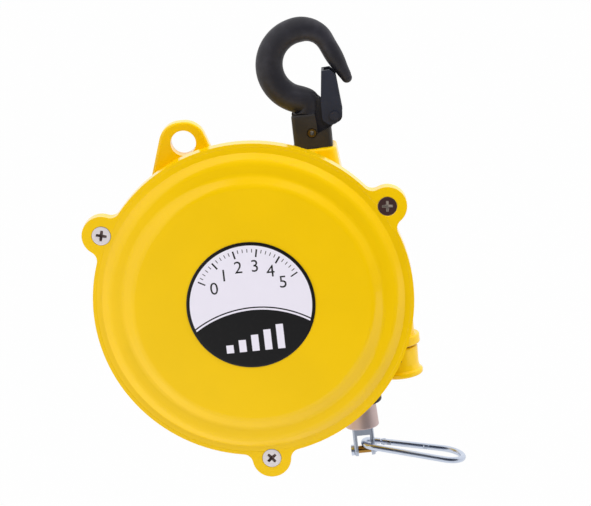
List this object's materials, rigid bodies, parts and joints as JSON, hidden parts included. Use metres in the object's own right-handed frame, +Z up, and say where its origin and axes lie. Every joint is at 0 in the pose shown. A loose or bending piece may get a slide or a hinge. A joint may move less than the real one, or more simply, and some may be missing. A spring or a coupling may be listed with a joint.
{
  "type": "tool balancer",
  "caption": "Spring balancer that hangs from a swivelling hook and holds a hand tool weightless on a wire rope with a snap hook.",
  "frame": {"origin": "load point at the top of the hook bowl's inside, on the axis of the hook swivel", "axes": "+Z up along the hook swivel, -Y out of the front cover along the drum axis, +X to the right seen from the front"},
  "size_m": [0.1787, 0.0809, 0.2382],
  "materials": {
    "yellow_paint": "glossy yellow powder paint on die-cast aluminium",
    "hook_black": "satin black",
    "socket_grey": "satin dark grey",
    "zinc": "bright zinc plating",
    "sleeve_metal": "satin",
    "steel": "machined",
    "dark_steel": "oiled spring steel",
    "screw_steel": "plated",
    "bronze": "turned",
    "drum_alloy": "cast and turned",
    "rope_steel": "stranded",
    "black_plastic": "moulded",
    "buffer_rubber": "moulded",
    "label_print": "printed film"
  },
  "bodies": {
    "case": {"rear_case": "yellow_paint", "front_cover": "yellow_paint", "cover_screws": "screw_steel", "label_plate": "label_print", "main_shaft": "steel", "shaft_washer": "steel", "shaft_nut": "steel", "shaft_circlip": "dark_steel", "drum_spacer": "steel", "worm_bush": "bronze", "knob_washer": "steel", "cable_guide": "black_plastic"},
    "hook": {"suspension_hook": "hook_black", "swivel_socket": "socket_grey", "hook_pin": "bronze", "swivel_washers": "steel", "swivel_nut": "steel", "latch_rivet": "dark_steel", "latch_spring": "dark_steel"},
    "latch": {"hook_latch": "hook_black"},
    "drum": {"cable_drum": "drum_alloy", "drum_bushes": "bronze", "wound_cable": "rope_steel"},
    "spring_unit": {"spring_case": "drum_alloy", "spring_case_lid": "steel", "lid_rivets": "steel", "spring_case_bush": "bronze", "power_spring": "dark_steel"},
    "adjuster": {"worm_shaft": "steel", "adjusting_knob": "yellow_paint", "knob_pin": "dark_steel"},
    "rope_end": {"cable_run": "rope_steel", "stop_buffer": "buffer_rubber", "bumper_sleeve": "sleeve_metal", "cable_ferrule": "sleeve_metal"},
    "clevis": {"swivel_clevis": "zinc", "clevis_pin": "zinc", "clevis_bush": "bronze"},
    "snap_hook": {"snap_hook_body": "zinc", "gate_rivet": "zinc", "gate_spring": "dark_steel"},
    "gate": {"snap_gate": "zinc"}
  },
  "joints": [
    {"name": "hook_swivel", "type": "hinge", "parent": "case", "child": "hook", "pos_m": [0, 0, -0.0519], "axis": [0, 0, 1], "continuous": true},
    {"name": "latch_swing", "type": "hinge", "parent": "hook", "child": "latch", "pos_m": [0.012, 0, -0.0379], "axis": [0, -1, 0], "range_deg": [0, 15], "stiffness_Nm_per_rad": 0.05, "springref_deg": -28.65, "deforming": ["latch_spring"]},
    {"name": "drum_spin", "type": "hinge", "parent": "case", "child": "drum", "pos_m": [-0.0374, 0, -0.1219], "axis": [0, 1, 0], "range_deg": [0, 1608.74], "stiffness_Nm_per_rad": 0.0244, "springref_deg": -3237.21, "deforming": ["power_spring"]},
    {"name": "cable_travel", "type": "slide", "parent": "case", "child": "rope_end", "axis": [0, 0, -1], "range_m": [0, 1.3], "deforming": ["cable_run"]},
    {"name": "spring_case_turn", "type": "hinge", "parent": "case", "child": "spring_unit", "pos_m": [-0.0374, -0.018, -0.1219], "axis": [0, 1, 0], "range_deg": [-720, 720], "deforming": ["power_spring"]},
    {"name": "knob_turn", "type": "hinge", "parent": "case", "child": "adjuster", "pos_m": [0.0313, -0.01, -0.1639], "axis": [0, 0, 1], "range_deg": [-60480, 60480]},
    {"name": "lower_swivel", "type": "hinge", "parent": "rope_end", "child": "clevis", "pos_m": [0.0089, 0, -0.2019], "axis": [0, 0, 1], "continuous": true},
    {"name": "snap_hook_pivot", "type": "hinge", "parent": "clevis", "child": "snap_hook", "pos_m": [0.0089, 0, -0.21115], "axis": [0, 1, 0], "range_deg": [-24, 172]},
    {"name": "snap_gate_swing", "type": "hinge", "parent": "snap_hook", "child": "gate", "pos_m": [0.01907, 0.00634, -0.21378], "axis": [-0.2504, 0, -0.9681], "range_deg": [0, 30], "stiffness_Nm_per_rad": 0.01, "springref_deg": -28.65, "deforming": ["gate_spring"]}
  ],
  "couplings": [
    {"joint": "cable_travel", "follows": "drum_spin", "m_per_rad": 0.0463},
    {"joint": "knob_turn", "follows": "spring_case_turn", "ratio": 84}
  ]
}
